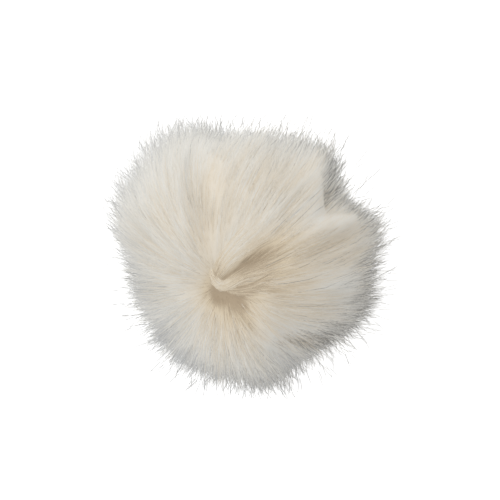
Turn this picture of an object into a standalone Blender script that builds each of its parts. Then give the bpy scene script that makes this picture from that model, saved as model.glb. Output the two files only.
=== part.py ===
"""A long-pile faux fur pom pom, lying on its gathered back.

The pile grows on a stuffed ball of fur fabric.  It parts at a whorl, which the ball has tipped
towards -X and -Y, and every hair is combed away from there over the backing.  Here the pile is
one solid: the dense fur next to the backing is its body, and the loose outer pile is 294 tapered
locks, each grown from its own patch of that body.  The locks underneath are shorter and end
level on the floor.  All sizes are in metres, with +Z up and the floor at Z = 0.
"""

import math

import bpy
import numpy as np

# The gathered, stuffed backing that the pile grows on.  It isn't modelled: the pile hides it.
BACKING_RADIUS = 0.028
BACKING_CENTRE = np.array((-0.0022, 0.0033, 0.052))

# The whorl is where the pile parts, as an angle from straight up and an azimuth from +X.
WHORL_TILT = math.radians(34)
WHORL_AZIMUTH = math.radians(230)

# How far the tips of the pile lean away from the whorl, and how near to it that lean builds up.
COMB_ANGLE = math.radians(30)
COMB_ONSET = math.radians(25)
SAG = 0.10  # how much the tips of level hair drop, as a share of their reach

# How far the pile reaches from the backing's centre, seen from above.
OUTLINE = (  # azimuth in degrees, reach
    (0, 0.0710),
    (15, 0.0670),
    (30, 0.0595),
    (50, 0.0695),
    (70, 0.0620),
    (95, 0.0625),
    (108, 0.0635),
    (122, 0.0730),
    (150, 0.0730),
    (165, 0.0730),
    (180, 0.0695),
    (205, 0.0670),
    (228, 0.0685),
    (250, 0.0740),
    (278, 0.0735),
    (302, 0.0665),
    (320, 0.0690),
    (338, 0.0760),
)
CROWN_REACH = 0.048  # straight up
WHORL_DIP = 0.14  # how much lower the pile lies at the whorl, as a share of its reach
WHORL_DIP_SPREAD = math.radians(30)

# Lines from the whorl to the rim at which the pile falls to both sides.
PARTINGS = (  # azimuth round the whorl, half width and push in degrees, share of depth
    (40, 13, 8, 0.11),
    (95, 12, 6, 0.06),
    (176, 14, 5, 0.05),
    (324, 13, 8, 0.11),
)

# The locks: one for each cell of a cube that is blown up to a ball.
CELLS_PER_SIDE = 7
CELL_WARP = 0.035
LOCK_SECTIONS = (  # share of the way to the tip, share of the cell that the lock fills
    (0.29, 0.80),
    (0.50, 0.70),
    (0.73, 0.55),
    (0.90, 0.36),
)
GROOVE = 0.22  # share of the way to the tip at which the body lies between the locks
TIP_WANDER = 0.03  # how far a lock's tip strays sideways, as a share of its reach
TIP_UNEVENNESS = 0.04  # how much locks differ in reach
RISE = 1.1  # above 1, hair leaves the backing steeply and flattens towards its tip
BEND = 1.3  # above 1, hair bends most towards its tip

# The flat spot underneath, where the weight of the ball holds the pile to the floor.
FLOOR_SPOT_ANGLE = math.radians(25)
FLOOR_TIP_FILL = 0.45  # share of the cell that a lock's level end fills
FLOOR_ROUNDING = 8  # higher, the pile turns up from the floor more sharply

FUR_COLOUR = (0.74, 0.67, 0.56, 1.0)
FUR_ROUGHNESS = 0.9


def unit(vectors):
    return vectors / np.linalg.norm(vectors, axis=-1, keepdims=True)


def whorl_frame():
    """Two axes square to the whorl's own, and that one, as rows."""
    tilt, azimuth = WHORL_TILT, WHORL_AZIMUTH
    whorl = np.array(
        (math.sin(tilt) * math.cos(azimuth), math.sin(tilt) * math.sin(azimuth), math.cos(tilt))
    )
    across = unit(np.cross((0.0, 1.0, 0.0), whorl))
    return np.array((across, np.cross(whorl, across), whorl))


FRAME = whorl_frame()


def cell_corners():
    """The four corner directions of every cell, with a corner of four cells at the whorl."""
    steps = np.tan(np.linspace(-1, 1, CELLS_PER_SIDE + 1) * math.pi / 4)
    corners = []
    for axis in range(3):
        for side in (-1, 1):
            across = np.roll(np.eye(3), axis, axis=0)
            for i in range(CELLS_PER_SIDE):
                for j in range(CELLS_PER_SIDE):
                    ring = ((i, j), (i + 1, j), (i + 1, j + 1), (i, j + 1))
                    quad = [
                        across[0] * side + across[1] * steps[a] + across[2] * steps[b]
                        for a, b in (ring if side > 0 else ring[::-1])
                    ]
                    corners.append(quad)
    corners = unit(np.array(corners))
    middle = CELLS_PER_SIDE // 2
    seat = unit(np.array((steps[middle], steps[middle], 1.0)))
    aside = unit(np.cross((0.0, 1.0, 0.0), seat))
    corners = corners @ np.array((aside, np.cross(seat, aside), seat)).T @ FRAME
    x, y, z = np.moveaxis(corners, -1, 0)
    warp = np.stack((np.sin(23 * x + 11 * y), np.sin(19 * y + 13 * z), np.sin(17 * z + 29 * x)), -1)
    return unit(corners + CELL_WARP * warp)


def parted(azimuth):
    """How far the partings turn hair at this azimuth round the whorl, and how low it lies."""
    turn, depth = np.zeros_like(azimuth), np.zeros_like(azimuth)
    for at, half_width, push, share in PARTINGS:
        off = (azimuth - math.radians(at) + math.pi) % (2 * math.pi) - math.pi
        off = off / math.radians(half_width)
        turn += math.radians(push) * off * np.exp(-0.5 * off**2)
        depth += share * np.exp(-(off**2))
    return turn, depth


def combed(root):
    """The direction of the tip of a hair that is rooted at this direction."""
    along = root @ FRAME.T
    angle = np.arccos(np.clip(along[..., 2], -1, 1))
    azimuth = np.arctan2(along[..., 1], along[..., 0])
    lean = COMB_ANGLE * (1 - np.exp(-angle / COMB_ONSET)) * np.cos(angle / 2) ** 1.2
    azimuth = azimuth + parted(azimuth)[0] * np.sin(np.minimum(angle + lean, math.pi)) ** 0.5
    angle = angle + lean
    tip = np.stack((np.sin(angle) * np.cos(azimuth), np.sin(angle) * np.sin(azimuth), np.cos(angle)), -1)
    tip = tip @ FRAME
    level = 1 - tip[..., 2] ** 2
    tip = tip - SAG * level[..., None] * np.array((0.0, 0.0, 1.0))
    return unit(tip)


def outline_reach(azimuth):
    """The outline's reach at an azimuth, on a smooth curve through its rows."""
    at, reach = np.array(OUTLINE).T
    fine = np.arange(360.0)
    ring = np.interp(fine, at, reach, period=360)
    spread = np.exp(-0.5 * (np.minimum(fine, 360 - fine) / 6.0) ** 2)
    smooth = np.fft.irfft(np.fft.rfft(ring) * np.fft.rfft(spread / spread.sum()), 360)
    return np.interp(np.degrees(azimuth) % 360, fine, smooth, period=360)


def reach(tip, longer=0.0):
    """How far from the backing's centre the pile reaches in a direction, if the floor lets it."""
    rim = outline_reach(np.arctan2(tip[..., 1], tip[..., 0]))
    level = np.sqrt(np.maximum(1 - tip[..., 2] ** 2, 0))
    up = np.maximum(tip[..., 2], 0)
    down = np.maximum(-tip[..., 2], 0)
    far = ((level / rim) ** 2 + (up / CROWN_REACH) ** 2 + (down / rim) ** 2) ** -0.5
    along = tip @ FRAME.T
    angle = np.arccos(np.clip(along[..., 2], -1, 1))
    far = far * (1 - WHORL_DIP * np.exp(-((angle / WHORL_DIP_SPREAD) ** 2)))
    depth = parted(np.arctan2(along[..., 1], along[..., 0]))[1]
    far = far * (1 - depth * np.sin(np.minimum(angle * 1.2, math.pi)) ** 2) * (1 + longer)
    floor = BACKING_CENTRE[2] / np.maximum(down, 1e-3)
    return (far**-FLOOR_ROUNDING + floor**-FLOOR_ROUNDING) ** (-1 / FLOOR_ROUNDING)


def pile_point(root, tip, far, share):
    """Where a hair is at a share of the way to its tip, between two directions."""
    bend = share**BEND
    rise = 1 - (1 - share) ** RISE
    way = unit(root * (1 - bend) + tip * bend)
    return BACKING_CENTRE + way * (BACKING_RADIUS + (far - BACKING_RADIUS) * rise)[..., None]


def scatter(direction, seed):
    """A number from -1 to 1 that looks random, and is always the same for a direction."""
    return np.sin(direction @ np.array((127.1, 311.7, 74.7)) * (1 + 0.37 * seed) + 2.4 * seed)


def lock_rings(corners):
    """Each lock's rings of four points, from the body outwards, and its tip or None on the floor."""
    middles = unit(corners.mean(axis=1))
    stray = np.stack([scatter(middles, seed) for seed in (1, 2, 3)], -1)
    tips = unit(combed(middles) + TIP_WANDER * stray)
    longer = TIP_UNEVENNESS * scatter(middles, 4)
    corner_tips = combed(corners) + (tips - combed(middles))[:, None]
    grounded = -tips[:, 2] > math.cos(FLOOR_SPOT_ANGLE)
    locks = []
    for lock in range(len(corners)):
        rings = []
        sections = LOCK_SECTIONS
        if grounded[lock]:
            sections = LOCK_SECTIONS[:-1] + ((1.0, FLOOR_TIP_FILL),)
        for share, fill in sections:
            root = middles[lock] + fill * (corners[lock] - middles[lock])
            tip = tips[lock] + fill * (corner_tips[lock] - tips[lock])
            far = reach(unit(tip), longer[lock] * share**3)
            ring = pile_point(unit(root), unit(tip), far, share)
            if share == 1.0:
                ring[:, 2] = 0.0
            rings.append(ring)
        point = None
        if not grounded[lock]:
            far = reach(tips[lock], longer[lock])
            point = pile_point(middles[lock], tips[lock], far, 1.0)
        locks.append((rings, point))
    return locks


def pile_mesh():
    """The points and faces of the pile: a body of cells, and a lock grown from every cell."""
    corners = cell_corners()
    flat = corners.reshape(-1, 3)
    _, first, cells = np.unique(
        np.round(flat, 6), axis=0, return_index=True, return_inverse=True
    )
    nodes = flat[first]
    body = pile_point(nodes, combed(nodes), reach(combed(nodes)), GROOVE)
    points = [tuple(place) for place in body]
    faces = []
    for below, (rings, point) in zip(cells.reshape(-1, 4).tolist(), lock_rings(corners)):
        for ring in rings:
            above = list(range(len(points), len(points) + 4))
            points.extend(tuple(place) for place in ring)
            for i in range(4):
                j = (i + 1) % 4
                faces.append((below[i], below[j], above[j], above[i]))
            below = above
        if point is None:
            faces.append(tuple(below))
        else:
            points.append(tuple(point))
            for i in range(4):
                faces.append((below[i], below[(i + 1) % 4], len(points) - 1))
    return points, faces


def fur_material():
    material = bpy.data.materials.new("ivory_pile")
    material.use_nodes = True
    shader = material.node_tree.nodes["Principled BSDF"]
    shader.inputs["Base Color"].default_value = FUR_COLOUR
    shader.inputs["Roughness"].default_value = FUR_ROUGHNESS
    shader.inputs["Metallic"].default_value = 0.0
    return material


def make_fur_ball():
    mesh = bpy.data.meshes.new("fur_ball")
    points, faces = pile_mesh()
    mesh.from_pydata(points, [], faces)
    mesh.materials.append(fur_material())
    fur_ball = bpy.data.objects.new("fur_ball", mesh)
    bpy.context.scene.collection.objects.link(fur_ball)
    return fur_ball


def main():
    for leftover in list(bpy.data.objects):
        bpy.data.objects.remove(leftover)
    make_fur_ball()


main()
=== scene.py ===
"""A long-pile faux fur pom pom, ivory with grey to black tips, lying on a pale floor.

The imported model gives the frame: one closed solid, fur_ball.  The pieces made here stand for it.
The underfur is the dense, pale fleece next to the backing.  The coat is thousands of tapered
strands that grow out of it, in wisps and tufts, and are combed away from a whorl.  Three loose
locks turn round the whorl, and three wisps reach over a notch in the rim.  Longer, darker guard
hairs stand out of the coat, and single hairs stray round it.
All sizes are in metres, with +Z up and the floor at Z = 0.
"""

import math

import bpy
import numpy as np
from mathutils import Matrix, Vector


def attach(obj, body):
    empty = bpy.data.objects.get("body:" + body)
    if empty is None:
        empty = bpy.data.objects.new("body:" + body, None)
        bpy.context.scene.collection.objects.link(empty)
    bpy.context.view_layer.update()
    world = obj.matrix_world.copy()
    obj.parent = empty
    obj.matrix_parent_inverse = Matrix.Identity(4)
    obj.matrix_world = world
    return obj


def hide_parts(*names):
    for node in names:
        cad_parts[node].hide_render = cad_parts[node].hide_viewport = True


bl_info = {
    "name": "Fur Pom Pom",
    "version": (1, 0, 0),
    "blender": (4, 5, 0),
    "location": "3D View > Sidebar > Pom Pom",
    "description": "Grows the combed, dark-tipped pile of a faux fur pom pom",
    "category": "Add Mesh",
}

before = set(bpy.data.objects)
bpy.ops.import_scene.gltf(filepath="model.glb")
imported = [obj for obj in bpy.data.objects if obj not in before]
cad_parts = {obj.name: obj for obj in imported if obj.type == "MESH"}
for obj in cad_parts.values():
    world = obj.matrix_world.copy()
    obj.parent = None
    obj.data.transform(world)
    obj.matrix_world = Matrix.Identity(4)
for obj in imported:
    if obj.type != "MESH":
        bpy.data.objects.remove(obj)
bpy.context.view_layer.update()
NODE = "fur_ball"

# The stuffed backing that the pile grows on.
BACKING_RADIUS = 0.028
BACKING_CENTRE = np.array((-0.0022, 0.0033, 0.052))
MIDDLE_HEIGHT = 0.050  # of the pom pom's middle over the floor

# The whorl is where the pile parts, as an angle from straight up and an azimuth from +X.
WHORL_TILT = math.radians(34)
WHORL_AZIMUTH = math.radians(230)

# How far the pile reaches from the backing's centre, seen from above.
OUTLINE = (  # azimuth in degrees, reach
    (0, 0.0598), (9, 0.0620), (17, 0.0648), (25, 0.0515), (35, 0.0540), (51, 0.0638),
    (70, 0.0558), (95, 0.0584), (104, 0.0616), (113, 0.0698), (124, 0.0724), (150, 0.0708),
    (165, 0.0690), (180, 0.0624), (191, 0.0626), (205, 0.0606), (228, 0.0625), (250, 0.0648),
    (270, 0.0652), (281, 0.0686), (292, 0.0606), (302, 0.0584), (321, 0.0671), (338, 0.0662),
)
OUTLINE_BLUR = 3.5  # degrees that it is smoothed over
CROWN_REACH = 0.048  # straight up
WHORL_DIP = 0.14  # how much lower the whorl lies, as a share of the reach
WHORL_DIP_SPREAD = math.radians(30)
RUFFLE = 0.005  # height of the pile's ruffles, as a share of its reach
RUFFLE_WAVES = (9, 13, 17, 22, 26, 31, 37, 43)  # how many go round the whorl
FLOOR_ROUNDING = 8  # higher, the pile turns up from the floor more sharply
FLOOR_GAP = 0.0006  # how far off the floor a strand's middle stays
ROOM_ROUNDING = 40  # higher, hair may come closer to its room's edge

# Lines from the whorl to the rim at which the pile falls to both sides.
PARTINGS = (  # azimuth round the whorl, half width and push in degrees, share of depth
    (40, 15, 4, 0.06), (95, 12, 3, 0.03), (176, 14, 3, 0.04), (324, 14, 4, 0.06),
)
PARTING_RUN = 1.2  # higher, the partings end closer to the whorl

# Folds and ridges in the pile.  Each runs through places given as an azimuth round the whorl, an
# angle from it and a half width, all in degrees, and what it does there: it lowers the pile by a
# share of its reach, changes its tone and darkens its tips.  Below 0 it does the opposite.  In the
# shaded hollow, the shade under the curl, the notch's shadow and the other folds marked below, the
# darker tone and tips are painted shade; on the overhanging edge the paler tone is painted light.
FOLDS = (
    (  # the long fold beside the curl, darkened as painted shade
        (50, 9, 2.5, 0.03, -0.1, 0), (36, 17, 4.5, 0.05, -0.3, 0),
        (32, 26, 7, 0.05, -0.42, 0), (31, 36, 8, 0.03, -0.3, 0), (28, 58, 9, 0, -0.06, 0),
    ),
    (  # the shaded hollow right of the whorl
        (340, 6, 9, 0.01, -0.16, 0), (10, 22, 14, 0.02, -0.28, 0), (18, 38, 17, 0.02, -0.27, 0),
        (20, 56, 17, 0, -0.1, 0),
    ),
    (  # the shade under the curl
        (275, 6, 6, 0.02, -0.18, 0), (325, 12, 8, 0.04, -0.36, 0), (314, 20, 9, 0.03, -0.32, 0),
        (308, 32, 8, 0, -0.1, 0),
    ),
    (  # painted shade below the whorl, warmer and darker
        (258, 10, 6, 0, -0.05, 0), (270, 19, 9, 0, -0.1, 0), (274, 34, 9, 0, -0.04, 0),
    ),
    (  # the greyer rim at the lower left
        (198, 40, 9, 0, 0.05, 0.1), (226, 44, 9, 0, 0.05, 0.14), (246, 50, 9, 0, 0.05, 0.14),
        (262, 64, 9, 0, 0.04, 0.08),
    ),
    (  # the notch between the lower lobes, and its shadow
        (311, 51, 4.5, 0.04, -0.26, 1.4), (313, 61, 4.5, 0.06, -0.28, 1.5),
        (315, 72, 4.5, 0.07, -0.16, 1.1), (315, 84, 7, 0.1, -0.1, 1),
    ),
    (  # the pale lobe under the whorl
        (322, 34, 6, -0.01, 0.16, 0), (310, 48, 9, -0.01, 0.12, 0),
        (298, 64, 6, -0.01, 0.02, -0.6), (297, 78, 6, 0, -0.04, -0.3),
    ),
    (  # the pale lobe at the right
        (352, 64, 8, -0.01, 0.14, 0), (347, 74, 8, -0.01, 0.2, -0.9),
    ),
    (  # the golden parting
        (98, 6, 4, 0.01, -0.1, 0), (98, 30, 9, 0.01, -0.16, 0), (86, 46, 9, 0, -0.06, 0),
        (86, 60, 9, 0, -0.06, 0),
    ),
    (  # the pale ridge left of it
        (124, 28, 5, -0.01, 0.04, 0), (108, 52, 7, -0.01, 0.1, 0),
        (105, 70, 8, -0.01, 0.06, 0),
    ),
    (  # the recess between the right-hand lobes, with dark tips and painted shade
        (27, 90, 1.5, 0.03, 0, 0.5), (29, 96, 2.8, 0.07, -0.08, 1.3),
        (32, 105, 3.6, 0.07, -0.15, 1.3), (35, 118, 4.5, 0.08, 0, 1.1),
    ),
    (  # the overhanging edge over it, paler as painted light, with fewer dark tips
        (29, 68, 7, -0.03, 0.1, 0), (33, 83, 6.5, -0.09, 0.06, -0.8),
        (41, 95, 5.5, -0.08, -0.02, -1), (50, 108, 5, -0.02, -0.04, -0.8),
    ),
    (  # the edge below it
        (25, 76, 8, -0.01, 0.1, 0), (18, 86, 8, -0.02, 0.08, -0.6),
        (10, 96, 7, -0.02, 0.02, -0.6), (3, 110, 6, -0.01, 0, -0.35),
    ),
    (  # the thin hair between the recess and that edge
        (22, 91, 4.5, 0.02, -0.02, -1), (20, 104, 5, 0.03, -0.08, -1),
    ),
)

# Locks and wisps that fan out over the pile.  Each has a count of strands, their tone, and the
# places its middle passes: azimuth round the whorl and angle from it in degrees, share of the
# pile's reach, and half width.
LOCKS = (
    (420, 0.6, (  # the curl, which turns under and lies beside the long fold
        (100, 15, 0.94, 0.001), (104, 9, 0.98, 0.0018), (85, 5, 1.01, 0.0022),
        (35, 5, 1.03, 0.0024), (23, 9, 1.04, 0.0024), (24, 14, 1.04, 0.0025),
        (24, 20, 1.03, 0.003), (20, 28, 1.02, 0.0038), (18, 37, 1, 0.005),
        (17, 49, 0.98, 0.007),
    )),
    (760, 0.45, (  # the lock above it
        (84, 6, 0.95, 0.0012), (78, 10, 0.99, 0.0024), (64, 21, 1.02, 0.0042),
        (55, 33, 1.02, 0.0054), (49, 46, 1.01, 0.0068), (45, 59, 0.99, 0.0085),
    )),
    (160, 0.34, (  # the lock below it, darker as painted shade beside the curl
        (60, 5, 0.93, 0.001), (352, 7, 0.98, 0.0016), (352, 14, 1, 0.0024),
        (357, 24, 1, 0.0038), (0, 35, 0.99, 0.0062), (1, 48, 0.97, 0.01),
    )),
    (110, 0.68, (  # a wide wisp over the notch between the lower lobes
        (340, 22, 0.98, 0.003), (328, 32, 1.01, 0.0045), (322, 45, 1.02, 0.006),
        (317, 58, 1.03, 0.008), (314, 72, 1.03, 0.01), (312, 84, 1.02, 0.011),
    )),
    (40, 0.74, (  # a narrow one below them
        (324, 28, 0.98, 0.0006), (317, 39, 1.02, 0.001), (310, 50, 1.03, 0.0014),
        (305, 60, 1.03, 0.0018), (301, 71, 1.03, 0.0024),
    )),
    (40, 0.74, (  # and one among them
        (338, 34, 0.98, 0.0006), (332, 46, 1.02, 0.001), (325, 58, 1.03, 0.0014),
        (319, 70, 1.03, 0.0018), (314, 84, 1.03, 0.0026),
    )),
)

# Half widths of the room that all the hair keeps inside.
ROOM = np.array((0.0772, 0.0725))

# A hair on its way from the backing to its tip.
RISE = 1.5  # above 1, it leaves the backing steeply and flattens towards its tip
BEND = 1.5  # above 1, it bends most towards its tip
SAG = 0.06  # how much the tips of level hair drop, as a share of their reach
SWAY = math.radians(6)  # how far whole areas of hair are turned aside

# A hair leans by a share of the angle that is left to the rim, and by a little more.  It leans
# again between two angles past the rim.
LEAN_TO_RIM = 0.62
LEAN_AT_RIM = math.radians(3)
LEAN_UNDER_RIM = math.radians(38)
UNDER_RIM = (math.radians(4), math.radians(40))
LEAN_ROUNDING = 3  # higher, the lean keeps closer to the least of what limits it

# Roots crowd round the whorl on a spiral, and are moved off it at random.
GOLDEN_ANGLE = math.pi * (3 - math.sqrt(5))
CROWDING_SPREAD = math.radians(45)
JITTER = 1.6

BENDS = 3  # straight stretches in a hair's length

# A strand's three corners, across it and outwards, and how far its shading turns towards them.
SIDES = 3
CORNERS_ACROSS = np.array((1.0, -1.0, 0.0))[:, None]
CORNERS_OUT = np.array((0.2, 0.2, -0.4))[:, None]
SHADE_ACROSS = np.array((0.8, -0.8, 0.0))[:, None]
SHADE_OUT = np.array((0.15, 0.15, -1.8))[:, None]
WHORL_SIDE = 0.8  # how far a strand's outer side is turned towards the whorl's axis
SHADE_SQUARE = 0.8  # how far the shading is turned square to the strand
SHADE_OWN = 0.35  # what its own outer side adds to the pile's
MAP_WIDTH, MAP_STEP = 0.004, 0.001  # moves on the map across a strand, and over a ring

# The pile's tone, from 0 for the deepest colour, which is painted shade, to 1 for the coolest, and
# what is added to it: towards the lit side as painted light, at the rim, in blotches, and on the
# ruffles as painted light on their crests and painted shade between them.
TONE = 0.62
LIT_SIDE = np.array((-0.60, -0.30, 0.0))
LIT_TONE, RIM_TONE, BLOTCH_TONE, RUFFLE_TONE = 0.14, 0.24, 0.05, 0.04
# Painted shade deep in the pile, partly over its warmer roots.
DEPTH_SHADE_TONE = 0.55  # what is taken from it at the backing
# Painted shade in the whorl's pit, partly over the warmer roots seen there.
WHORL_SHADE_TONES = ((0.09, math.radians(55)), (0.45, math.radians(12.5)))  # taken, and how far round
MIXED_ROUND = math.radians(40)  # this near to the whorl, strands differ more in tone

# How dark tips are at the rim: to start with, what is added towards the shaded side away from the
# key, where the real dark tips also carry painted shade, and the least.
SHADED_SIDE = np.array((0.75, -0.12, 0.0))
DARK_TIPS, DARK_TO_SHADED_SIDE, LEAST_DARK = 0.38, 0.84, 0.08
LYING_SIDE = np.array((0.8, -0.6, 0.0))  # where most of the lying hairs are

# How far the tips of tufts, wisps and strands stray, and those of strands at the rim on top.
TUFT_STRAY, WISP_STRAY, STRAND_STRAY, RIM_STRAY = 0.03, 0.018, 0.035, 0.020
ROOT_SPREAD = 0.55  # how far a wisp's roots spread, as a share of the way between wisps
WISP_UNEVEN = 0.04  # how much wisps differ in reach, as a share
WISP_LONGER, WISP_LONGEST = 0.045, 0.16  # what they are longer by at the rim, and at most

KEY_PLACE = (-0.75, 0.65, 0.9)


# ---- directions and the pile's form


def unit(vectors):
    """Vectors over their own lengths."""
    return vectors / np.linalg.norm(vectors, axis=-1, keepdims=True)


def ease(value, low, high):
    """0 at or under low, 1 at or over high, and a smooth step between them."""
    step = np.clip((value - low) / (high - low), 0, 1)
    return step * step * (3 - 2 * step)


def soft_least(first, second, sharpness):
    """About the smaller of two: the sum of their powers, and its root, of minus the sharpness."""
    return (first**-sharpness + second**-sharpness) ** (-1 / sharpness)


def whorl_frame():
    """Two axes square to the whorl's own, and that one, as rows."""
    level, up = math.sin(WHORL_TILT), math.cos(WHORL_TILT)
    whorl = np.array((level * math.cos(WHORL_AZIMUTH), level * math.sin(WHORL_AZIMUTH), up))
    across = unit(np.cross((0.0, 1.0, 0.0), whorl))
    return np.array((across, np.cross(whorl, across), whorl))


FRAME = whorl_frame()


def round_whorl(direction):
    """The angle from the whorl and the azimuth round it, of directions."""
    along = direction @ FRAME.T
    return np.arccos(np.clip(along[..., 2], -1, 1)), np.arctan2(along[..., 1], along[..., 0])


def from_whorl(angle, azimuth):
    """The directions at an angle from the whorl and an azimuth round it."""
    ring = np.sin(angle)
    return np.stack((ring * np.cos(azimuth), ring * np.sin(azimuth), np.cos(angle)), -1) @ FRAME


def parted(azimuth):
    """How far the partings turn hair at this azimuth round the whorl, and how low it lies."""
    turn, depth = np.zeros_like(azimuth), np.zeros_like(azimuth)
    for at, half_width, push, share in PARTINGS:
        off = (azimuth - math.radians(at) + math.pi) % (2 * math.pi) - math.pi
        off = off / math.radians(half_width)
        turn += math.radians(push) * off * np.exp(-0.5 * off**2)
        depth += share * np.exp(-(off**2))
    return turn, depth


def folded(direction):
    """How far the folds lower the pile at directions, change its tone and darken its tips.  Each
    fold's effect is that at the nearest place on its line, and falls off with the square of the
    distance from there over the half width.  The tone and tips carry the folds' painted shade and
    painted light as well as the pile's colour."""
    shape = direction.shape[:-1]
    total = np.zeros((3, *shape))
    for fold in FOLDS:
        places = np.array(fold)
        line = from_whorl(np.radians(places[:, 1]), np.radians(places[:, 0]))
        closest, effect = np.full(shape, np.inf), np.ones((4, *shape))
        for first, last, start, end in zip(line, line[1:], places[:, 2:], places[1:, 2:]):
            way = last - first
            along = np.clip((direction - first) @ way / np.sum(way**2), 0, 1)
            off = np.linalg.norm(direction - first - along[..., None] * way, axis=-1)
            here = np.multiply.outer(start, 1 - along) + np.multiply.outer(end, along)
            effect = np.where(off < closest, here, effect)
            closest = np.minimum(off, closest)
        total += effect[1:] * np.exp(-((closest / np.radians(effect[0])) ** 2))
    return total


def ruffled(direction):
    """From about -1 to 1, and long in the way the hair runs: the sum of waves round the whorl whose
    phase drifts with the angle from it.  They fade out towards the whorl."""
    angle, azimuth = round_whorl(direction)
    rng = np.random.default_rng(21)
    total = np.zeros_like(angle)
    for count in RUFFLE_WAVES:
        drift, phase = rng.uniform(-6, 6), rng.uniform(0, 2 * math.pi)
        total += np.sin(count * azimuth + drift * angle + phase)
    return total / 4.0 * ease(np.sin(angle), 0.15, 0.7)


def combed(root, comb, onset):
    """The direction of a hair's tip: its root's, turned away from the whorl.  The turn is the comb
    angle at most, grows with distance from the whorl, and is a share of what is left to the rim,
    so that the hair round the rim stands straight out.  It grows again under the rim."""
    angle, azimuth = round_whorl(root)
    rim = np.arctan2(FRAME[2, 2], -(np.cos(azimuth) * FRAME[0, 2] + np.sin(azimuth) * FRAME[1, 2]))
    left = LEAN_TO_RIM * np.maximum(rim - angle, 0) + LEAN_AT_RIM
    left += LEAN_UNDER_RIM * ease(angle - rim, *UNDER_RIM) * np.sin(angle)
    lean = soft_least(comb, left, LEAN_ROUNDING) * (1 - np.exp(-angle / onset))
    azimuth = azimuth + parted(azimuth)[0] * np.sin(np.minimum(angle + lean, math.pi)) ** 0.5
    azimuth = azimuth + SWAY * smooth_noise(root, 3.0, seed=8) * ease(angle, 0.3, 1.0)
    tip = from_whorl(angle + lean, azimuth)
    level = 1 - tip[..., 2] ** 2
    return unit(tip - SAG * level[..., None] * np.array((0.0, 0.0, 1.0)))


def outline_reach(azimuth):
    """The outline's reach at an azimuth, on a smooth curve through its rows."""
    at, reach = np.array(OUTLINE).T
    fine = np.arange(360.0)
    ring = np.interp(fine, at, reach, period=360)
    spread = np.exp(-0.5 * (np.minimum(fine, 360 - fine) / OUTLINE_BLUR) ** 2)
    smooth = np.fft.irfft(np.fft.rfft(ring) * np.fft.rfft(spread / spread.sum()), 360)
    return np.interp(np.degrees(azimuth) % 360, fine, smooth, period=360)


def pile_reach(tip, longer=0.0):
    """How far from the backing's centre the pile reaches in a direction: the radius of an
    ellipsoid with the outline's reach at its rim, lower at the whorl, along the partings and in
    the folds, and rounded off where it meets the floor."""
    rim = outline_reach(np.arctan2(tip[..., 1], tip[..., 0]))
    level = np.sqrt(np.maximum(1 - tip[..., 2] ** 2, 0))
    up = np.maximum(tip[..., 2], 0)
    down = np.maximum(-tip[..., 2], 0)
    far = ((level / rim) ** 2 + (up / CROWN_REACH) ** 2 + (down / rim) ** 2) ** -0.5
    angle, azimuth = round_whorl(tip)
    far = far * (1 - WHORL_DIP * np.exp(-((angle / WHORL_DIP_SPREAD) ** 2)))
    depth = parted(azimuth)[1] * np.sin(np.minimum(angle * PARTING_RUN, math.pi)) ** 2
    far = far * (1 - depth) * (1 - folded(tip)[0]) * (1 + RUFFLE * ruffled(tip)) * (1 + longer)
    floor = BACKING_CENTRE[2] / np.maximum(down, 1e-3)
    return soft_least(far, floor, FLOOR_ROUNDING)


def hair_reach(tip, longer):
    """How far a hair reaches that is longer than the pile by a share: about the least of that and
    the way to the nearest side of the room."""
    side = np.where(tip[..., :2] < 0, -ROOM, ROOM)
    least = 0.05
    across = np.where(np.abs(tip[..., :2]) < least, least * np.sign(side), tip[..., :2])
    room = np.min((side - BACKING_CENTRE[:2]) / across, axis=-1)
    return soft_least(pile_reach(tip, longer), room, ROOM_ROUNDING)


def pile_facing(direction):
    """Which way the pile's surface faces: its own direction less the slope of its reach, taken
    between neighbouring directions."""
    apart = 0.03
    first = unit(np.cross(direction, (0.31, -0.52, 0.79)))
    second = np.cross(direction, first)
    far = pile_reach(direction)
    facing = direction.copy()
    for tangent in (first, second):
        slope = (pile_reach(unit(direction + apart * tangent)) - far) / (apart * far)
        facing -= slope[..., None] * tangent
    return unit(facing)


def hair_path(root, tip, far, share):
    """Where each hair is at shares of the way to its tip.  Its direction turns from its root's to
    its tip's with a power of the share, and its distance from the centre rises and levels off."""
    root, tip, far = root[:, None], tip[:, None], far[:, None]
    bend = (share**BEND)[..., None]
    rise = 1 - (1 - share) ** RISE
    way = unit(root * (1 - bend) + tip * bend)
    return BACKING_CENTRE + way * (BACKING_RADIUS + (far - BACKING_RADIUS) * rise)[..., None]


def spread_roots(count, crowding, seed):
    """Root directions on a spiral round the whorl, closer together towards it by the crowding."""
    rng = np.random.default_rng(seed)
    angles = np.linspace(0, math.pi, 2001)
    density = np.sin(angles) * (1 + crowding * np.exp(-((angles / CROWDING_SPREAD) ** 2)))
    total = np.cumsum(density)
    share = (np.arange(count) + 0.5) / count
    angle = np.interp(share * total[-1], total, angles)
    azimuth = np.arange(count) * GOLDEN_ANGLE
    jitter = JITTER / math.sqrt(count)
    angle = np.abs(angle + jitter * rng.uniform(-1, 1, count))
    azimuth = azimuth + jitter * rng.uniform(-1, 1, count) / np.maximum(np.sin(angle), 0.05)
    return from_whorl(np.minimum(angle, math.pi), azimuth)


def smooth_curve(points, share):
    """Where the smooth curve through points is at shares of its way: each stretch is the cubic
    whose slope at a point is half the step between that point's neighbours."""
    first, last = 2 * points[0] - points[1], 2 * points[-1] - points[-2]
    knots = np.concatenate((first[None], points, last[None]))
    along = share * (len(points) - 1)
    at = np.minimum(along.astype(int), len(points) - 2)
    t = (along - at)[..., None]
    a, b, c, d = (knots[at + step] for step in range(4))
    cubic = (3 * (b - c) + d - a) * t + 2 * a - 5 * b + 4 * c - d
    return 0.5 * ((cubic * t + c - a) * t + 2 * b)


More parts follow.
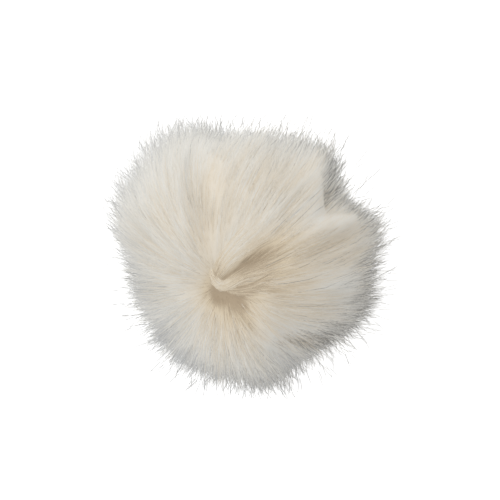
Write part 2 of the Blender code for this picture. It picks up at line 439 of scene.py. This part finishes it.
def near(direction, spread, rng):
    """Directions with a normal scatter of a spread added to them."""
    return unit(direction + spread * rng.normal(size=direction.shape))


def smooth_noise(direction, scale, seed):
    """A smooth number from about -1 to 1 that varies over directions, as a sum of waves."""
    rng = np.random.default_rng(seed)
    total = np.zeros(direction.shape[:-1])
    for _ in range(6):
        wave = scale * unit(rng.normal(size=3)) * rng.uniform(0.6, 1.4)
        total += np.sin(direction @ wave + rng.uniform(0, 2 * math.pi))
    return total / 3.0


def nearest(points, centres):
    """The index of the centre nearest to each point, worked out in slices to save memory."""
    found = [np.argmax(part @ centres.T, axis=1) for part in np.array_split(points, 40)]
    return np.concatenate(found)


# ---- meshes of strands


def strand_mesh(name, path, radius, tone, dark):
    """One mesh of closed, three-sided, tapered prisms, one for each row of path, with one side
    facing away from the backing.  Each ends in a point.  The UV map has the tone along U and how
    dark it is along V, as given at every point of the path.  The mesh is shaded mostly as the
    pile's own surface, as dense fur is."""
    count, points = path.shape[:2]
    rings = points - 1
    ahead = unit(np.gradient(path, axis=1))
    radial = unit(path - BACKING_CENTRE)
    outward = radial + WHORL_SIDE * FRAME[2]
    across = unit(np.cross(outward, ahead))
    outward = np.cross(ahead, across)
    offset = CORNERS_ACROSS * across[:, :rings, None] + CORNERS_OUT * outward[:, :rings, None]
    verts = path[:, :rings, None] + radius[:, :, None, None] * offset
    verts = np.concatenate((verts.reshape(count, -1, 3), path[:, -1:]), axis=1)
    facing = pile_facing(radial)
    facing -= SHADE_SQUARE * np.sum(facing * ahead, axis=-1, keepdims=True) * ahead
    facing = (facing + SHADE_OWN * outward)[:, :, None]
    tilt = SHADE_ACROSS * across[:, :rings, None] + SHADE_OUT * outward[:, :rings, None]
    facing = ((facing[:, :rings] + tilt).reshape(count, -1, 3), facing[:, -1])
    facing = unit(np.concatenate(facing, axis=1))

    side = np.arange(SIDES)
    after = (side + 1) % SIDES
    step = SIDES * np.arange(rings - 1)[:, None]
    quads = np.stack((step + side, step + after, step + SIDES + after, step + SIDES + side), -1)
    last = SIDES * (rings - 1)
    tips = np.stack((last + side, last + after, np.full(SIDES, SIDES * rings)), -1)
    cap = (2, 1, 0)
    loops = np.concatenate((quads.reshape(-1), tips.reshape(-1), cap))
    sizes = np.repeat((4, 3), ((rings - 1) * SIDES, SIDES + 1))

    # The map moves a little across a strand and over its cap, so that no face is lost there.
    rows = loops // SIDES
    quads_beside = np.tile((0.0, MAP_WIDTH, MAP_WIDTH, 0.0), (rings - 1) * SIDES)
    beside = np.concatenate((quads_beside, np.tile((0.0, MAP_WIDTH, MAP_WIDTH / 2), SIDES + 1)))
    along = MAP_STEP * rows
    along[-1] += MAP_WIDTH
    uv = (np.clip(tone, 0.0, 0.99)[:, rows] + beside, np.clip(dark, 0.0, 0.98)[:, rows] + along)

    mesh = bpy.data.meshes.new(name)
    mesh.vertices.add(verts.size // 3)
    mesh.vertices.foreach_set("co", verts.astype(np.float32).ravel())
    start = np.arange(count)[:, None]
    all_loops = (loops + start * verts.shape[1]).ravel()
    first = np.cumsum(sizes) - sizes
    mesh.loops.add(len(all_loops))
    mesh.loops.foreach_set("vertex_index", all_loops.astype(np.int32))
    mesh.polygons.add(count * len(sizes))
    mesh.polygons.foreach_set("loop_start", (first + start * len(loops)).astype(np.int32).ravel())
    mesh.update(calc_edges=True)
    uv_map = mesh.uv_layers.new(name="OFBake")
    uv_map.data.foreach_set("uv", np.stack(uv, -1).astype(np.float32).ravel())
    mesh.normals_split_custom_set_from_vertices(facing.reshape(-1, 3).tolist())
    return mesh


def put(name, data):
    """Puts a new object in the scene."""
    item = bpy.data.objects.new(name, data)
    bpy.context.scene.collection.objects.link(item)
    return item


def add_piece(name, mesh, material, opaque=False):
    """Puts a mesh in the scene as a piece that stands for the fur ball.  Pale fibres pass the
    light on to those under them, so only an opaque piece keeps it from the others."""
    mesh.materials.append(material)
    piece = put(name, mesh)
    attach(piece, "root")
    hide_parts(NODE)
    piece.visible_shadow = piece.visible_diffuse = opaque
    return piece


# ---- materials


class Value:
    """A shader socket that ordinary arithmetic works on, by adding Math nodes."""

    def __init__(self, tree, socket):
        self.tree, self.socket = tree, socket

    def node(self, kind, settings=(), output=0, **inputs):
        """Adds a node of a kind, sets it up, and returns one of its outputs."""
        node = self.tree.nodes.new(kind)
        for key, value in dict(settings).items():
            setattr(node, key, value)
        for key, value in inputs.items():
            place = node.inputs[int(key[1:]) if key[1:].isdigit() else key.replace("_", " ")]
            if isinstance(value, Value):
                self.tree.links.new(value.socket, place)
            else:
                place.default_value = value
        return Value(self.tree, node.outputs[output])

    def math(self, operation, *others, clamp=False):
        """Adds a Math node over other values and numbers."""
        values = {f"_{place}": value for place, value in enumerate(others)}
        return self.node("ShaderNodeMath", {"operation": operation, "use_clamp": clamp}, **values)

    def __add__(self, other):
        return self.math("ADD", self, other)

    def __sub__(self, other):
        return self.math("SUBTRACT", self, other)

    def __mul__(self, other):
        return self.math("MULTIPLY", self, other)

    __radd__ = __add__
    __rmul__ = __mul__

    def ease(self, low, high):
        """0 at or under low, 1 at or over high, and a smooth step between them."""
        smooth = {"interpolation_type": "SMOOTHSTEP"}
        return self.node("ShaderNodeMapRange", smooth, Value=self, From_Min=low, From_Max=high)

    def into(self, shader, name):
        """Links this value to a shader's input."""
        self.tree.links.new(self.socket, shader.inputs[name])

    def blend(self, first, second):
        """The first colour where this value is 0, and the second where it is 1."""
        return self.node(
            "ShaderNodeMix", {"data_type": "RGBA"}, output=2, _0=self, _6=first, _7=second
        )


def new_material(name, roughness):
    """A material with its Principled shader, and a Value to start expressions from."""
    material = bpy.data.materials.new(name)
    material.use_nodes = True
    tree = material.node_tree
    shader = tree.nodes["Principled BSDF"]
    shader.inputs["Roughness"].default_value = roughness
    shader.inputs["Specular IOR Level"].default_value = 0.25
    shader.inputs["Sheen Weight"].default_value = 0.15
    shader.inputs["Sheen Roughness"].default_value = 0.5
    return material, shader, Value(tree, None)


def rgba(colour):
    """An opaque colour."""
    return (*colour, 1.0)


def pile_colour(tone, dark, fur):
    """The colour of the pile: over tone it goes from the deep colour, which is painted shade,
    through gold and cream to ivory and frost, and over dark from there to grey and to the colour of
    the darkest tips."""
    colour = tone.ease(0.05, 0.30).blend(rgba(fur.deep_shade_colour), rgba(fur.gold_colour))
    colour = tone.ease(0.28, 0.52).blend(colour, rgba(fur.cream_colour))
    colour = tone.ease(0.50, 0.74).blend(colour, rgba(fur.ivory_colour))
    colour = tone.ease(0.79, 0.98).blend(colour, rgba(fur.frost_colour))
    colour = dark.ease(0.04, 0.55).blend(colour, rgba(fur.grey_colour))
    return dark.ease(0.50, 0.95).blend(colour, rgba(fur.dark_colour))


def strand_material(name, fur):
    """The pile's colour, with its painted light and shade, from each strand's own UV map."""
    material, shader, start = new_material(name, 0.62)
    place = start.node("ShaderNodeUVMap", {"uv_map": "OFBake"})
    tone, dark = (start.node("ShaderNodeSeparateXYZ", output=n, Vector=place) for n in (0, 1))
    pile_colour(tone, dark, fur).into(shader, "Base Color")
    return material


def underfur_material(fur):
    """Matted fleece: fine streaks that run away from the whorl, between gold and cream, over the
    pile's tone with its painted light and shade.
    """
    material, shader, start = new_material("ivory_underfur", 0.8)
    place = start.node("ShaderNodeUVMap", {"uv_map": "OFBake"})
    place = start.node(
        "ShaderNodeVectorMath", {"operation": "MULTIPLY"}, _0=place, _1=(700.0, 22.0, 1.0)
    )
    streaks = start.node("ShaderNodeTexNoise", Vector=place, Scale=1.0, Detail=4.0, Roughness=0.6)
    tone = start.node("ShaderNodeAttribute", {"attribute_name": "ToneAndShade"}, output=2)
    dark = start.math("SUBTRACT", 0.2, streaks, clamp=True)
    pile_colour(tone + (streaks - 0.5) * 0.4, dark, fur).into(shader, "Base Color")
    bump = start.node("ShaderNodeBump", Strength=0.3, Distance=0.0006, Height=streaks)
    bump.into(shader, "Normal")
    return material


# ---- the strands


def rim_share(direction):
    """How near a direction is to the rim or under it: 0 over the crown, 1 at the rim."""
    return ease(1 - direction[..., 2], 0.25, 0.95)


def pile_tone_and_shade(path):
    """The tone at points of strands: paler on the lit side, as painted light; warmer and darker at
    the whorl, in the folds and deep in the pile, as painted shade, partly over the warmer roots;
    and cooler at the rim."""
    off_centre = path - BACKING_CENTRE
    far = np.linalg.norm(off_centre, axis=-1)
    direction = off_centre / far[..., None]
    angle = round_whorl(direction)[0]
    depth = (far - BACKING_RADIUS) / (pile_reach(direction) - BACKING_RADIUS)
    cool = rim_share(direction) * (1 - 0.75 * ease(-direction[..., 2], 0.05, 0.5))
    # Painted light towards the lit side and on the ruffles' crests; painted shade deep in the pile,
    # at the whorl and in the shaded folds.
    tone = TONE + LIT_TONE * (direction @ LIT_SIDE) + RIM_TONE * cool
    tone -= DEPTH_SHADE_TONE * (1 - np.clip(depth, 0, 1))
    tone += BLOTCH_TONE * smooth_noise(direction, 5.0, seed=3) + RUFFLE_TONE * ruffled(direction)
    for taken, spread in WHORL_SHADE_TONES:
        tone -= taken * np.exp(-((angle / spread) ** 2))
    return tone + folded(direction)[1]


def tip_darkness(tip):
    """How dark the tips of strands are, from 0 to 1: a power of how near they are to the rim, times
    what grows towards the shaded side, partly as painted shade, plus what the folds add or take."""
    side = np.maximum(DARK_TIPS + DARK_TO_SHADED_SIDE * (tip @ SHADED_SIDE), LEAST_DARK)
    return np.clip(rim_share(tip) ** 2.5 * side + folded(tip)[2], 0, 1)


def taper(along, sharpness):
    """A strand's thickness along it: 1 less a power of the share of the way to its tip."""
    return 1 - along**sharpness


def grow_coat(fur, count, seed):
    """Strands in wisps, and the wisps in tufts.  Each strand's own path is drawn part of the way
    to its wisp's path, and that to its tuft's, more so towards the tip and round the rim."""
    rng = np.random.default_rng(seed)
    comb, onset = fur.comb_angle, fur.comb_onset

    tufts = spread_roots(fur.tufts, 0.8, seed=5)
    tuft_tips = near(combed(tufts, comb, onset), TUFT_STRAY, np.random.default_rng(6))
    wisps = spread_roots(count // fur.wisp_size, fur.crowding, seed + 1)
    wisp_tips = near(combed(wisps, comb, onset), WISP_STRAY, rng)
    wisp = np.repeat(np.arange(len(wisps)), fur.wisp_size)
    tuft = nearest(wisps, tufts)[wisp]

    apart = math.sqrt(4 * math.pi / len(wisps))
    roots = near(wisps[wisp], ROOT_SPREAD * apart, rng)
    stray = STRAND_STRAY + RIM_STRAY * rim_share(roots)[:, None]
    tips = near(combed(roots, comb, onset), stray, rng)

    longest = 1 - (1 - fur.shortest) * rng.uniform(0, 1, len(roots)) ** 1.5
    step = np.linspace(0, 1, BENDS + 1)
    share = fur.bare_share + (longest[:, None] - fur.bare_share) * step
    at_rim = rim_share(wisp_tips)
    longer = rng.uniform(-WISP_UNEVEN, WISP_UNEVEN, len(wisps))
    longer += at_rim * np.minimum(rng.exponential(WISP_LONGER, len(wisps)), WISP_LONGEST)
    path = hair_path(roots, tips, hair_reach(tips, longer[wisp]), share)
    wisp_reach = hair_reach(wisp_tips, longer)[wisp]
    wisp_path = hair_path(wisps[wisp], wisp_tips[wisp], wisp_reach, share)
    tuft_path = hair_path(tufts[tuft], tuft_tips[tuft], pile_reach(tuft_tips)[tuft], share)
    gathered = np.clip((share - 0.3) / 0.7, 0, 1)[..., None] ** 1.5
    wisp_path += (tuft_path - wisp_path) * fur.tuft_pull * gathered
    pull = fur.wisp_pull * (0.15 + 0.85 * at_rim**2)[wisp, None, None]
    path += (wisp_path - path) * pull * gathered
    waver = rng.normal(size=(len(roots), 1, 3)) * np.sin(3.0 * math.pi * share + 1)[..., None]
    path += fur.waver * gathered * waver
    path[..., 2] = np.maximum(path[..., 2], FLOOR_GAP)

    radius = fur.strand_radius * taper(step[:-1], 1.8) * rng.uniform(0.8, 1.3, (len(roots), 1))
    spread = 0.05 * rng.normal(size=len(roots)) + 0.04 * rng.normal(size=len(wisps))[wisp]
    spread *= 1 + 1.2 * np.exp(-((round_whorl(roots)[0] / MIXED_ROUND) ** 2))
    shade = rng.uniform(0.7, 1.3, len(tufts))[tuft] * rng.uniform(0.5, 1.4, len(wisps))[wisp]
    full = tip_darkness(tips)[:, None]
    darker = ease(rng.uniform(size=(len(roots), 1)) + 0.3 * full, 0.35, 0.85)
    dark = 1.2 * full * shade[:, None] * darker
    dark = dark * ease(share / longest[:, None], 0.78 - 0.22 * full, 0.98)
    return path, radius, pile_tone_and_shade(path) + spread[:, None], dark


def grow_loose(roots, tips, longer, start, radius, rng):
    """Single hairs that keep to their own paths, from a share of the way out to their tips, with
    half a sine wave's bow."""
    step = np.linspace(0, 1, BENDS + 1)
    share = start + (1 - start) * step + np.zeros((len(roots), 1))
    path = hair_path(roots, tips, hair_reach(tips, longer), share)
    path += 0.0005 * rng.normal(size=(len(roots), 1, 3)) * np.sin(math.pi * step)[:, None]
    path[..., 2] = np.maximum(path[..., 2], FLOOR_GAP)
    thickness = radius * taper(step[:-1], 3.0) * rng.uniform(0.8, 1.2, (len(roots), 1))
    return path, thickness, step


def grow_lock(count, places, rng):
    """Strands side by side along a smooth curve through places.  Each keeps its own side and height
    in the lock's flattened section, whose half width follows the places."""
    azimuth, angle, reach, width = np.array(places).T
    direction = from_whorl(np.radians(angle), np.radians(azimuth))
    guide = BACKING_CENTRE + direction * (pile_reach(direction) * reach)[:, None]
    start = rng.uniform(0.0, 0.35, (count, 1))
    share = start + (rng.uniform(0.75, 1.0, (count, 1)) - start) * np.linspace(0, 1, 8)
    line = smooth_curve(guide, share)
    ahead = unit(smooth_curve(guide, share + 0.01) - smooth_curve(guide, share - 0.01))
    radial = unit(line - BACKING_CENTRE)
    across = unit(np.cross(radial, ahead))
    turn = rng.uniform(0, 2 * math.pi, (count, 1))
    out = np.sqrt(rng.uniform(0, 1, (count, 1)))
    half = np.interp(share, np.linspace(0, 1, len(width)), width)
    side = out * np.cos(turn) + 0.25 * rng.normal(size=(count, 1)) * share
    height = out * np.sin(turn)
    path = line + (half * side)[..., None] * across
    path += (0.0009 * height * (1 - 0.7 * share) - 0.0006 * share**2)[..., None] * radial
    bow = np.sin(rng.uniform(4, 9, (count, 1)) * share + rng.uniform(0, 6, (count, 1)))
    path += 0.0004 * rng.normal(size=(count, 1, 3)) * bow[..., None]
    return path, share


def quick_count(count):
    return count


# ---- settings and operators


def whole(name, description, default):
    """A setting that is a whole number."""
    return bpy.props.IntProperty(name=name, description=description, default=default, min=1)


def amount(name, description, default, **more):
    """A setting that is a number."""
    return bpy.props.FloatProperty(name=name, description=description, default=default, **more)


def length(name, description, default):
    """A setting that is a length."""
    return amount(name, description, default, unit="LENGTH", precision=6)


def degrees(name, description, default):
    """A setting that is an angle, given in degrees."""
    return amount(name, description, math.radians(default), subtype="ANGLE")


def tint(name, description, default):
    """A setting that is a colour."""
    return bpy.props.FloatVectorProperty(
        name=name, description=description, subtype="COLOR", default=default, min=0, max=1
    )


class PileSettings(bpy.types.PropertyGroup):
    """Sizes and colours of the pile."""

    coat_strands: whole("Coat Strands", "Strands in the coat", 48000)
    guard_hairs: whole("Guard Hairs", "Dark-tipped hairs that stand out of the coat", 4500)
    lying_hairs: whole("Lying Hairs", "Long hairs that lie on the pile", 220)
    stray_hairs: whole("Stray Hairs", "Loose hairs round the rim", 1100)
    longest_reach: length("Longest Reach", "How far stray hairs reach at most", 0.080)
    strand_radius: length("Strand Radius", "Radius of a strand at its root", 0.000085)
    hair_radius: length("Hair Radius", "Radius of a guard hair at its root", 0.000085)
    comb_angle: degrees("Comb Angle", "How far tips near the whorl lean away from it", 55)
    comb_onset: degrees("Comb Onset", "How far from it the lean has mostly built up", 10)
    crowding: amount("Crowding", "How much closer together strands are at the whorl", 2.2)
    shortest: amount("Shortest", "Share of the pile's depth that the shortest strands reach", 0.80)
    bare_share: amount("Bare Share", "Share of a strand's way that is left out, as hidden", 0.52)
    tufts: whole("Tufts", "Tufts that the wisps gather into", 420)
    tuft_pull: amount("Tuft Pull", "How far a wisp's tip is drawn to its tuft's", 0.15)
    wisp_size: whole("Wisp Size", "Strands in a wisp", 10)
    wisp_pull: amount("Wisp Pull", "How far a strand's tip is drawn to its wisp's", 0.45)
    waver: length("Waver", "How far strands stray from a clean curve", 0.0002)
    # The deep colour is painted shade, for the pile deep down, at the whorl and in the shaded
    # folds.
    deep_shade_colour: tint("Deep", "Colour deep in the pile", (0.54, 0.43, 0.30))
    gold_colour: tint("Gold", "Colour of the yellower pile", (0.83, 0.71, 0.53))
    cream_colour: tint("Cream", "Colour of most of the pile", (0.89, 0.81, 0.68))
    ivory_colour: tint("Ivory", "Colour of the palest pile", (0.91, 0.89, 0.83))
    frost_colour: tint("Frost", "Colour of the cool pile at the rim", (0.62, 0.625, 0.62))
    grey_colour: tint("Grey", "Colour before a dark tip", (0.35, 0.335, 0.31))
    dark_colour: tint("Dark", "Colour of a dark tip", (0.050, 0.042, 0.034))


class StageSettings(bpy.types.PropertyGroup):
    """The floor, the lights and the camera."""

    floor_colour: tint("Floor", "Colour of the floor", (0.93, 0.93, 0.93))
    floor_glow: amount("Floor Glow", "Light that the floor gives off, as a light table does", 0.60)
    dome_strength: amount("Dome", "Strength of the soft light from all round", 0.71)
    dome_slope: amount("Dome Slope", "How much stronger it is on the side of the key", 0.28)
    key_power: amount("Key", "Watts of the soft light at the upper left", 3.2)
    camera_height: length("Camera Height", "Height of the camera over the middle", 0.6944)
    lens: amount("Lens", "Focal length in millimetres", 100.0)


class POMPOM_OT_underfur(bpy.types.Operator):
    """Makes the dense fleece that the strands grow out of, from rings round the whorl"""

    bl_idname = "pompom.underfur"
    bl_label = "Underfur"

    def execute(self, context):
        fur = context.scene.pom_pile
        rows, columns = 110, 220
        angle = np.linspace(0, math.pi, rows + 1)[1:-1, None] + np.zeros(columns)
        azimuth = np.arange(columns) * (2 * math.pi / columns) + np.zeros((rows - 1, 1))
        poles = from_whorl(np.array((0.0, math.pi)), np.zeros(2))
        rings = from_whorl(angle, azimuth).reshape(-1, 3)
        everywhere = np.concatenate((poles[:1], rings, poles[1:]))
        lumps = 0.0003 * smooth_noise(everywhere, 14.0, seed=11)
        away = round_whorl(everywhere)[0] / math.radians(14)
        under = ease(-everywhere[:, 2], 0.0, 0.5)
        # Its height, as a share of the pile's, is less at the whorl, the rim and underneath.
        height = 0.955 - 0.12 * np.exp(-(away**2)) - 0.10 * rim_share(everywhere) - 0.12 * under
        surface = pile_reach(everywhere)
        far = BACKING_RADIUS + height * (surface - BACKING_RADIUS) + lumps
        verts = BACKING_CENTRE + everywhere * far[:, None]

        column = np.arange(columns)
        after = (column + 1) % columns
        ring = 1 + columns * np.arange(rows - 2)[:, None]
        below = ring + columns
        quads = np.stack((ring + column, below + column, below + after, ring + after), -1)
        last = len(verts) - 1
        crown = np.stack((0 * column, 1 + column, 1 + after), -1)
        foot = np.stack((0 * column + last, last - columns + after, last - columns + column), -1)
        faces = quads.reshape(-1, 4).tolist() + crown.tolist() + foot.tolist()
        mesh = bpy.data.meshes.new("underfur")
        mesh.from_pydata(verts.tolist(), [], faces)

        def placed(across, down):
            """Where faces' corners are on the map, from their columns across and rows down."""
            return np.stack((np.stack(across, -1) / columns, np.stack(down, -1) / rows), -1).ravel()

        row = np.arange(1, rows - 1)[:, None] + 0 * column
        beside = column + 0 * row
        top, end = 0 * column, 0 * column + rows
        uv = (
            placed((beside, beside, beside + 1, beside + 1), (row, row + 1, row + 1, row)),
            placed((column + 0.5, column, column + 1), (top, top + 1, top + 1)),
            placed((column + 0.5, column + 1, column), (end, end - 1, end - 1)),
        )
        uv_map = mesh.uv_layers.new(name="OFBake")
        uv_map.data.foreach_set("uv", np.concatenate(uv).astype(np.float32))
        # The pile's tone at the surface, with its painted light and shade.
        tone = pile_tone_and_shade(BACKING_CENTRE + everywhere * surface[:, None]).astype(np.float32)
        mesh.attributes.new("ToneAndShade", "FLOAT", "POINT").data.foreach_set("value", tone)
        mesh.shade_smooth()
        piece = add_piece("underfur", mesh, underfur_material(fur), opaque=True)
        return {"FINISHED"}


class POMPOM_OT_coat(bpy.types.Operator):
    """Grows the coat's combed strands, in pieces that each cover the whole ball"""

    bl_idname = "pompom.coat"
    bl_label = "Coat"

    def execute(self, context):
        fur = context.scene.pom_pile
        material = strand_material("ivory_strands", fur)
        pieces = 4
        count = quick_count(fur.coat_strands) // pieces
        for number in range(pieces):
            name = f"coat_{number + 1}"
            mesh = strand_mesh(name, *grow_coat(fur, count, seed=100 + 10 * number))
            add_piece(name, mesh, material, opaque=number == 0)
        return {"FINISHED"}


class POMPOM_OT_locks(bpy.types.Operator):
    """Lays the curl, the other locks and the wisps on the pile"""

    bl_idname = "pompom.locks"
    bl_label = "Locks"

    def execute(self, context):
        fur = context.scene.pom_pile
        rng = np.random.default_rng(700)
        counts, tones, lines = zip(*LOCKS)
        parts = [grow_lock(count, places, rng) for count, places in zip(counts, lines)]
        path, share = (np.concatenate(part) for part in zip(*parts))
        step = np.linspace(0, 1, path.shape[1])[:-1]
        radius = fur.strand_radius * taper(step, 3.0) * rng.uniform(0.7, 1.4, (len(path), 1))
        tone = np.repeat(tones, counts)[:, None] + 0.12 * rng.normal(size=(len(path), 1))
        # Darker where the locks leave the whorl, as painted shade over their warmer roots, then
        # taking on the pile's tone with its painted light and shade.
        tone = tone - 0.30 * (1 - ease(share, 0.05, 0.6))
        tone = tone + (pile_tone_and_shade(path) - 0.5) * ease(share, 0.2, 0.7)
        tone = np.minimum(tone, 0.80)  # short of the cool colour
        mesh = strand_mesh("locks", path, radius, tone, np.zeros(path.shape[:2]))
        add_piece("locks", mesh, strand_material("ivory_locks", fur))
        return {"FINISHED"}


class POMPOM_OT_guard_hairs(bpy.types.Operator):
    """Grows the dark-tipped hairs that stand out of the coat"""

    bl_idname = "pompom.guard_hairs"
    bl_label = "Guard Hairs"

    def execute(self, context):
        fur = context.scene.pom_pile
        rng = np.random.default_rng(900)
        roots = spread_roots(4 * quick_count(fur.guard_hairs), 0.5, seed=901)
        tips = near(combed(roots, fur.comb_angle, fur.comb_onset), 0.05, rng)
        side = tips @ SHADED_SIDE
        # Hairs are kept mostly round the rim and towards the shaded side, where their dark tips are
        # partly painted shade.
        chance = 0.01 + 0.08 * np.maximum(side, 0) + rim_share(tips) ** 2 * (0.28 + 0.28 * side)
        chance *= np.clip(1 + folded(tips)[2], 0.1, 1.5)
        kept = rng.uniform(size=len(roots)) < chance
        roots, tips = roots[kept], tips[kept]
        longer = rng.uniform(-0.05, 0.03, len(roots))
        longer += rim_share(tips) * np.minimum(rng.exponential(0.07, len(roots)), 0.17)
        path, radius, step = grow_loose(roots, tips, longer, 0.6, fur.hair_radius, rng)
        dark = ease(step, 0.15, 0.8) * rng.uniform(0.3, 1.0, (len(roots), 1))
        # Darker towards the shaded side: partly painted shade.
        dark = dark * np.clip(0.55 + 0.7 * side[kept], 0.35, 1.0)[:, None]

        # A few long ones lie along the pile, and some of these are pale.
        roots = spread_roots(12 * quick_count(fur.lying_hairs), 1.0, seed=903)
        tips = near(combed(roots, 1.35 * fur.comb_angle, fur.comb_onset), 0.06, rng)
        chance = 0.10 + 0.30 * np.maximum(tips @ LYING_SIDE, 0)
        kept = (rng.uniform(size=len(roots)) < chance) & (tips[:, 2] > -0.1)
        roots, tips = roots[kept], tips[kept]
        pale = rng.uniform(size=(len(roots), 1)) < 0.60
        longer = rng.uniform(0.00, 0.04, len(roots))
        lying = grow_loose(roots, tips, longer, 0.45, fur.hair_radius, rng)
        path, radius = (np.concatenate(pair) for pair in zip((path, radius), lying))
        own = np.where(pale, 0.0, rng.uniform(0.5, 1.0, (len(roots), 1)))
        tone = pile_tone_and_shade(path) + 0.05
        tone[len(dark) :] = np.where(pale, 0.74, tone[len(dark) :])
        dark = np.concatenate((dark, ease(step, 0.0, 0.6) * own))
        mesh = strand_mesh("guard_hairs", path, radius, tone, dark)
        add_piece("guard_hairs", mesh, strand_material("dark_tipped_hairs", fur))
        return {"FINISHED"}


class POMPOM_OT_stray_hairs(bpy.types.Operator):
    """Grows the loose hairs round the rim"""

    bl_idname = "pompom.stray_hairs"
    bl_label = "Stray Hairs"

    def execute(self, context):
        fur = context.scene.pom_pile
        rng = np.random.default_rng(950)
        roots = near(spread_roots(3 * fur.stray_hairs, 0.0, seed=951), 0.02, rng)
        tips = near(combed(roots, fur.comb_angle, fur.comb_onset), 0.07, rng)
        kept = np.abs(tips[:, 2]) < 0.25
        roots, tips = roots[kept], tips[kept]
        longer = 0.03 + rng.exponential(0.09, len(roots))
        longer = np.minimum(longer, fur.longest_reach / pile_reach(tips) - 1)
        path, radius, step = grow_loose(roots, tips, longer, 0.7, 1.4 * fur.hair_radius, rng)
        dark = (0.16 + 0.22 * ease(step, 0.1, 0.8)) * rng.uniform(0.3, 1.6, (len(roots), 1))
        mesh = strand_mesh("stray_hairs", path, radius, pile_tone_and_shade(path) + 0.10, dark)
        add_piece("stray_hairs", mesh, strand_material("loose_hairs", fur))
        return {"FINISHED"}


class POMPOM_OT_stage(bpy.types.Operator):
    """Lays the floor and sets the lights and the camera"""

    bl_idname = "pompom.stage"
    bl_label = "Stage"

    def execute(self, context):
        scene = context.scene
        stage = scene.pom_stage
        mesh = bpy.data.meshes.new("floor")
        radius, sides = 30.0, 96
        turn = np.linspace(0, 2 * math.pi, sides, endpoint=False)
        rim = np.stack((radius * np.cos(turn), radius * np.sin(turn), 0 * turn), -1)
        mesh.from_pydata(rim.tolist(), [], [list(range(sides))])
        material, shader, _ = new_material("pale_floor", 0.7)
        shader.inputs["Base Color"].default_value = rgba(stage.floor_colour)
        shader.inputs["Sheen Weight"].default_value = 0.0
        shader.inputs["Emission Color"].default_value = rgba((1.0, 1.0, 1.0))
        shader.inputs["Emission Strength"].default_value = stage.floor_glow
        mesh.materials.append(material)
        floor = put("floor", mesh)
        floor.visible_diffuse = False

        world = bpy.data.worlds.new("even_light")
        world.use_nodes = True
        sky = world.node_tree.nodes["Background"]
        sky.inputs["Color"].default_value = rgba((1.0, 1.0, 1.0))
        start = Value(world.node_tree, None)
        towards = start.node(
            "ShaderNodeVectorMath", {"operation": "DOT_PRODUCT"}, output=1,
            _0=start.node("ShaderNodeTexCoord"), _1=tuple(unit(np.array((*KEY_PLACE[:2], 0.0)))),
        )
        (stage.dome_strength * (1.0 + stage.dome_slope * towards)).into(sky, "Strength")
        scene.world = world

        lamp = bpy.data.lights.new("key", "AREA")
        lamp.energy = stage.key_power
        lamp.shape = "DISK"
        lamp.size = 1.2
        key = put("key", lamp)
        key.location = KEY_PLACE
        way = Vector(BACKING_CENTRE) - Vector(KEY_PLACE)
        key.rotation_euler = way.to_track_quat("-Z", "Y").to_euler()

        eye = bpy.data.cameras.new("camera")
        eye.lens = stage.lens
        camera = put("camera", eye)
        camera.location = (*BACKING_CENTRE[:2], MIDDLE_HEIGHT + stage.camera_height)
        scene.camera = camera
        scene.view_settings.view_transform = "Standard"
        return {"FINISHED"}


class POMPOM_PT_panel(bpy.types.Panel):
    """Lists the pieces in the 3D view's sidebar"""

    bl_idname = "POMPOM_PT_panel"
    bl_label = "Pom Pom"
    bl_space_type = "VIEW_3D"
    bl_region_type = "UI"
    bl_category = "Pom Pom"

    def draw(self, context):
        for operator in OPERATORS:
            self.layout.operator(operator.bl_idname)
        for settings in (context.scene.pom_pile, context.scene.pom_stage):
            for name in settings.__annotations__:
                self.layout.prop(settings, name)


OPERATORS = (
    POMPOM_OT_underfur, POMPOM_OT_coat, POMPOM_OT_locks,
    POMPOM_OT_guard_hairs, POMPOM_OT_stray_hairs, POMPOM_OT_stage,
)
CLASSES = (PileSettings, StageSettings, *OPERATORS, POMPOM_PT_panel)


def register():
    for each in CLASSES:
        bpy.utils.register_class(each)
    bpy.types.Scene.pom_pile = bpy.props.PointerProperty(type=PileSettings)
    bpy.types.Scene.pom_stage = bpy.props.PointerProperty(type=StageSettings)


def unregister():
    del bpy.types.Scene.pom_stage
    del bpy.types.Scene.pom_pile
    for each in reversed(CLASSES):
        bpy.utils.unregister_class(each)


def main():
    register()
    bpy.ops.pompom.underfur()
    bpy.ops.pompom.coat()
    bpy.ops.pompom.locks()
    bpy.ops.pompom.guard_hairs()
    bpy.ops.pompom.stray_hairs()
    bpy.ops.pompom.stage()


if __name__ == "__main__":
    main()
